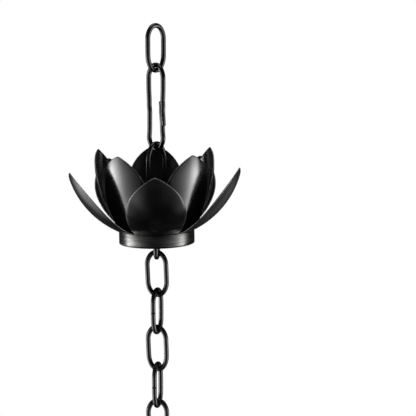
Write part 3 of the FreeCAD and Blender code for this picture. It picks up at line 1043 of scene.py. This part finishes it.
def ramp(tree, source, low, high, out_low=0.0, out_high=1.0):
    """A value of the source mapped smoothly from one range to another."""
    node = add_node(
        tree, "MapRange", interpolation_type="SMOOTHSTEP", Value=source,
        From_Min=low, From_Max=high, To_Min=out_low, To_Max=out_high,
    )
    return node.outputs["Result"]


def calc(tree, operation, *values):
    """A sum on outputs or plain numbers, worked from the left."""
    result = values[0]
    for value in values[1:] or (0.0,):
        node = add_node(tree, "Math", operation=operation)
        feed(tree, node.inputs[0], result)
        feed(tree, node.inputs[1], value)
        result = node.outputs[0]
    return result


def blend_colour(tree, share, first, second):
    """Two colours mixed by a share; either may be a colour or an output."""
    node = add_node(tree, "Mix", data_type="RGBA")
    feed(tree, node.inputs[0], share)
    for socket, value in ((node.inputs[6], first), (node.inputs[7], second)):
        feed(tree, socket, value if isinstance(value, bpy.types.NodeSocket) else (*value, 1))
    return node.outputs[2]


def blend_shader(tree, share, first, second):
    """Two shaders mixed by a share."""
    node = add_node(tree, "MixShader")
    for socket, value in zip(node.inputs, (share, first, second)):
        feed(tree, socket, value)
    return node.outputs[0]


def shade(colour, factor):
    """A colour made darker or lighter."""
    return tuple(min(1.0, c * factor) for c in colour)


def noise(tree, where, scale, detail, rough=0.5):
    """A noise pattern over the object."""
    node = add_node(
        tree, "TexNoise", Scale=scale, Detail=detail, Roughness=rough, Vector=where
    )
    return node.outputs["Fac"]


def relief(tree, height, strength, distance):
    """A fine relief for a shader's normal."""
    node = add_node(tree, "Bump", Strength=strength, Distance=distance, Height=height)
    return node.outputs["Normal"]


# Finishes

def black_coat(tree, finishes, shine, gloss=0.5, peel=0.05):
    """Baked black coat: fine orange peel, clouded sheen, and a highlight painted along the edges."""
    where = over_object(tree)
    edge = add_node(tree, "Attribute", attribute_name="edge").outputs["Fac"]
    cloud = noise(tree, where, 60.0, 4.0)
    tone = ramp(tree, cloud, 0.3, 0.7)
    body = blend_colour(tree, tone, shade(finishes.coat, 0.7), shade(finishes.coat, 1.5))
    # Painted highlight: a light grey laid along the sheet edges, broken into patches
    patches = ramp(tree, noise(tree, where, 120.0, 5.0), 0.3, 0.6, 0.25, 1.0)
    edge_highlight = calc(tree, "MULTIPLY", ramp(tree, edge, 0.3, 0.95), patches)
    dress(
        tree,
        Base_Color=blend_colour(tree, edge_highlight, body, finishes.edge_highlight),
        Roughness=ramp(tree, cloud, 0.25, 0.75, shine - 0.04, shine + 0.06),
        Specular_IOR_Level=gloss,
        Normal=relief(tree, noise(tree, where, 900.0, 2.0), peel, 0.0002),
    )


def brushed_band(tree, finishes):
    """Dark metal brushed round the band under a thin clear coat, a dark reflection painted along its
    lower edge.
    """
    where = over_object(tree)
    stretch = add_node(tree, "Mapping", Scale=(0.04, 0.04, 1.0), Vector=where).outputs[0]
    streak = noise(tree, stretch, 1300.0, 4.0, 0.65)
    cloud = noise(tree, where, 90.0, 3.0)
    # Painted dark reflection: the black coat colour laid along the band's lower edge
    dark_reflection = add_node(tree, "Attribute", attribute_name="edge").outputs["Fac"]
    tone = ramp(tree, streak, 0.3, 0.7)
    metal = blend_colour(tree, tone, shade(finishes.band, 0.55), shade(finishes.band, 1.5))
    dress(
        tree,
        Base_Color=blend_colour(tree, dark_reflection, metal, finishes.coat),
        Metallic=1.0,
        Roughness=ramp(tree, cloud, 0.3, 0.7, 0.24, 0.31),
        Coat_Weight=0.15,
        Coat_Roughness=0.25,
        Normal=relief(tree, streak, 0.35, 0.00012),
    )


def bright_wire(tree, finishes):
    """Bright drawn wire with faint marks."""
    marks = noise(tree, over_object(tree), 700.0, 4.0)
    dull = shade(finishes.steel, 0.75)
    dress(
        tree,
        Base_Color=blend_colour(tree, ramp(tree, marks, 0.4, 0.65), finishes.steel, dull),
        Metallic=1.0,
        Roughness=ramp(tree, marks, 0.3, 0.7, 0.16, 0.3),
    )


def amber_glass(tree, finishes):
    """Clear amber glass with faint swirls in its colour."""
    swirl = ramp(tree, noise(tree, over_object(tree), 45.0, 3.0, 0.6), 0.3, 0.7)
    deep = tuple(c * factor for c, factor in zip(finishes.glass, (0.9, 0.8, 0.6)))
    dress(
        tree,
        Base_Color=blend_colour(tree, swirl, finishes.glass, deep),
        Transmission_Weight=1.0,
        IOR=1.52,
        Roughness=0.015,
    )
    depth = add_node(tree, "VolumeAbsorption", Color=(0.62, 0.52, 0.08, 1), Density=36.0)
    feed(tree, tree.nodes["Material Output"].inputs["Volume"], depth.outputs["Volume"])


def pale_floor(tree):
    """A white floor that keeps the shadow under the chain and runs out into the white around."""
    where = over_object(tree)
    path = add_node(tree, "LightPath").outputs
    tone = ramp(tree, noise(tree, where, 9.0, 4.0), 0.3, 0.7)
    paint = dress(
        tree,
        Base_Color=blend_colour(tree, tone, (0.86, 0.86, 0.86), (0.9, 0.9, 0.9)),
        Roughness=0.8,
        Specular_IOR_Level=0.0,
    )
    distance = add_node(tree, "VectorMath", operation="LENGTH", Vector=where).outputs["Value"]
    far = calc(tree, "MULTIPLY", ramp(tree, distance, 0.1, 1.1, 0.55, 1.0), path["Is Camera Ray"])
    white = add_node(tree, "Emission", Strength=1.0).outputs[0]
    clear = add_node(tree, "BsdfTransparent").outputs[0]
    seen = blend_shader(tree, far, paint.outputs[0], white)
    seen = blend_shader(tree, path["Is Glossy Ray"], seen, clear)
    feed(tree, tree.nodes["Material Output"].inputs["Surface"], seen)


# Stage

# The camera's view, in pixels of a picture of this width: its focal length, how far the horizon
# lies above the middle, and how far the chain's line stands left of it
PICTURE, FOCAL, HORIZON_ABOVE, CHAIN_LEFT = 416, 1340.0, 203, 52.0
SENSOR = 36.0
# The floor's radius and steps round it, and how far it lies below the drop
FLOOR_RADIUS, FLOOR_STEPS, FLOOR_BELOW = 2.0, 96, 0.05
# The tall lights that gloss shows, in degrees: how fast they fade to the front and downward, and
# the height from which they fade downward
FRONT_FADE, DOWN_FADE, DOWN_FROM = 16.0, 24.0, -18.0
# The heights between which their tops, their feet and the faint light behind them fade out, and
# the widths in which their far edge and the faint light's do
PANEL_TOP, PANEL_FOOT, FAINT_TOP = (-12.0, 10.0), (-74.0, -42.0), (-24.0, -12.0)
EDGE_BLUR, FAINT_BLUR = 10, 22


def softbox(name, power, size, place, aim):
    """A rectangular studio light turned to its aim."""
    data = bpy.data.lights.new(name, "AREA")
    data.shape = "RECTANGLE"
    data.size, data.size_y = size
    data.energy = power
    obj = bpy.data.objects.new(name, data)
    obj.location = place
    obj.rotation_euler = (Vector(aim) - Vector(place)).to_track_quat("-Z", "Y").to_euler()
    bpy.context.scene.collection.objects.link(obj)


def light_panel(tree, round_way, up_way, side, peak, edge, faint, far, strength):
    """A tall soft light as gloss shows it, all its angles in degrees.

    It has a crisp far edge, fades slowly to the front and down, and is faint behind the edge."""
    away = calc(tree, "MULTIPLY", round_way, side)
    fade = calc(tree, "MAXIMUM", calc(tree, "SUBTRACT", peak, away), 0.0)
    falling = calc(tree, "EXPONENT", calc(tree, "DIVIDE", fade, -FRONT_FADE))
    low_down = ramp(tree, up_way, *FAINT_TOP, faint, 0.0)
    behind = calc(tree, "MULTIPLY", low_down, ramp(tree, away, far - FAINT_BLUR, far, 1.0, 0.0))
    crisp = calc(tree, "MAXIMUM", ramp(tree, away, edge, edge + EDGE_BLUR, 1.0, 0.0), behind)
    top = ramp(tree, up_way, *PANEL_TOP, 1.0, 0.0)
    depth = calc(tree, "MAXIMUM", calc(tree, "SUBTRACT", DOWN_FROM, up_way), 0.0)
    sinking = calc(tree, "EXPONENT", calc(tree, "DIVIDE", depth, -DOWN_FADE))
    foot = ramp(tree, up_way, *PANEL_FOOT)
    return calc(tree, "MULTIPLY", falling, crisp, top, sinking, foot, strength)


def low_glow(tree, round_way, up_way, side, height, width, strength):
    """A soft patch of light low in front, as gloss shows it, its angles in degrees."""
    squares = []
    for way, middle in ((round_way, side), (up_way, height)):
        off = calc(tree, "DIVIDE", calc(tree, "SUBTRACT", way, middle), width)
        squares.append(calc(tree, "MULTIPLY", off, off))
    fall = calc(tree, "MULTIPLY", calc(tree, "ADD", *squares), -1.0)
    return calc(tree, "MULTIPLY", calc(tree, "EXPONENT", fall), strength)


def background(tree, strength):
    """White light from all around."""
    return add_node(tree, "Background", Color=(1, 1, 1, 1), Strength=strength).outputs[0]


def white_surround(strength):
    """A studio that looks white, lights evenly, and shows two tall soft lights in gloss."""
    world = bpy.data.worlds.new("studio")
    world.use_nodes = True
    bpy.context.scene.world = world
    tree = world.node_tree
    tree.nodes.clear()
    path = add_node(tree, "LightPath").outputs
    generated = add_node(tree, "TexCoord").outputs["Generated"]
    way = add_node(tree, "SeparateXYZ", Vector=generated).outputs
    front = calc(tree, "MULTIPLY", way["Y"], -1.0)
    in_degrees = math.degrees(1)
    round_way = calc(tree, "MULTIPLY", calc(tree, "ARCTAN2", way["X"], front), in_degrees)
    up_way = calc(tree, "MULTIPLY", calc(tree, "ARCSINE", way["Z"]), in_degrees)
    left = light_panel(
        tree, round_way, up_way, side=-1.0, peak=91.0, edge=99.0, faint=0.15, far=150.0,
        strength=18.5,
    )
    right = light_panel(
        tree, round_way, up_way, side=1.0, peak=80.0, edge=89.0, faint=0.025, far=165.0,
        strength=13.5,
    )
    dim = ramp(tree, up_way, -44.0, -22.0, 0.012, 0.04)
    glow = low_glow(tree, round_way, up_way, side=-48.0, height=-50.0, width=17.0, strength=1.5)
    glossy = background(tree, calc(tree, "ADD", left, right, dim, glow))
    seen = blend_shader(tree, path["Is Glossy Ray"], background(tree, strength), glossy)
    clear = calc(tree, "MAXIMUM", path["Is Camera Ray"], path["Is Transmission Ray"])
    seen = blend_shader(tree, clear, seen, background(tree, 1.0))
    add_node(tree, "OutputWorld", Surface=seen)


class CHAIN_OT_stage(bpy.types.Operator):
    """Sets the floor, the lights, the white surround and the camera"""

    bl_idname = "rain_chain.stage"
    bl_label = "Stage"

    def execute(self, context):
        scene = context.scene
        settings = scene.rain_chain_stage
        level = ring_top(CUPS[0])
        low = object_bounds()[0].z
        bpy.ops.mesh.primitive_circle_add(
            vertices=FLOOR_STEPS, radius=FLOOR_RADIUS, fill_type="NGON",
            location=(0, 0, low - FLOOR_BELOW),
        )
        floor = context.object
        floor.name = "floor"
        floor.data.materials.append(material("pale_floor", pale_floor))
        floor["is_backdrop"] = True
        middle = (0, 0, level)
        tall, wide = (0.7, 2.4), (1.4, 1.4)
        softbox("left_softbox", settings.softbox, tall, (-1.7, -0.2, level - 0.5), middle)
        softbox("right_softbox", settings.softbox, tall, (1.7, -0.3, level - 0.5), middle)
        softbox("top_light", settings.top, wide, (0, -0.2, level + 1.7), middle)
        white_surround(settings.surround)
        camera = bpy.data.objects.new("camera", bpy.data.cameras.new("camera"))
        scene.collection.objects.link(camera)
        camera.data.sensor_width = SENSOR
        camera.data.lens = SENSOR * FOCAL / PICTURE
        camera.location = (0, -settings.distance, level + settings.height)
        pitch, yaw = math.atan(HORIZON_ABOVE / FOCAL), math.atan(CHAIN_LEFT / FOCAL)
        camera.rotation_euler = (math.pi / 2 - pitch, 0, -yaw)
        scene.camera = camera
        scene.view_settings.view_transform = "Standard"
        return {"FINISHED"}


class CHAIN_PT_panel(bpy.types.Panel):
    """The maker's panel in the sidebar"""

    bl_label = "Rain Chain"
    bl_idname = "CHAIN_PT_panel"
    bl_space_type = "VIEW_3D"
    bl_region_type = "UI"
    bl_category = "Rain Chain"

    def draw(self, context):
        scene = context.scene
        for holder in HOLDERS:
            group = getattr(scene, holder)
            box = self.layout.box()
            for key in group.__annotations__:
                box.prop(group, key)
        for operator in OPERATORS:
            self.layout.operator(operator.bl_idname)


HOLDERS = {
    "rain_chain_wires": WireSizes,
    "rain_chain_cups": CupSizes,
    "rain_chain_drop": DropSizes,
    "rain_chain_finishes": Finishes,
    "rain_chain_stage": StageSettings,
}
OPERATORS = (
    CHAIN_OT_links,
    CHAIN_OT_outer_petals,
    CHAIN_OT_inner_petals,
    CHAIN_OT_base_rings,
    CHAIN_OT_hangers,
    CHAIN_OT_drop_ring,
    CHAIN_OT_drop,
    CHAIN_OT_stage,
)


def register():
    """Adds the classes and the scene's property groups."""
    for group in HOLDERS.values():
        bpy.utils.register_class(group)
    for operator in OPERATORS:
        bpy.utils.register_class(operator)
    bpy.utils.register_class(CHAIN_PT_panel)
    for holder, group in HOLDERS.items():
        setattr(bpy.types.Scene, holder, PointerProperty(type=group))


def unregister():
    """Takes them away again."""
    for holder in HOLDERS:
        delattr(bpy.types.Scene, holder)
    bpy.utils.unregister_class(CHAIN_PT_panel)
    for operator in reversed(OPERATORS):
        bpy.utils.unregister_class(operator)
    for group in reversed(list(HOLDERS.values())):
        bpy.utils.unregister_class(group)


def main():
    register()
    bpy.ops.rain_chain.links()
    bpy.ops.rain_chain.outer_petals()
    bpy.ops.rain_chain.inner_petals()
    bpy.ops.rain_chain.base_rings()
    bpy.ops.rain_chain.hangers()
    bpy.ops.rain_chain.drop_ring()
    bpy.ops.rain_chain.drop()
    bpy.ops.rain_chain.stage()


if __name__ == "__main__":
    main()
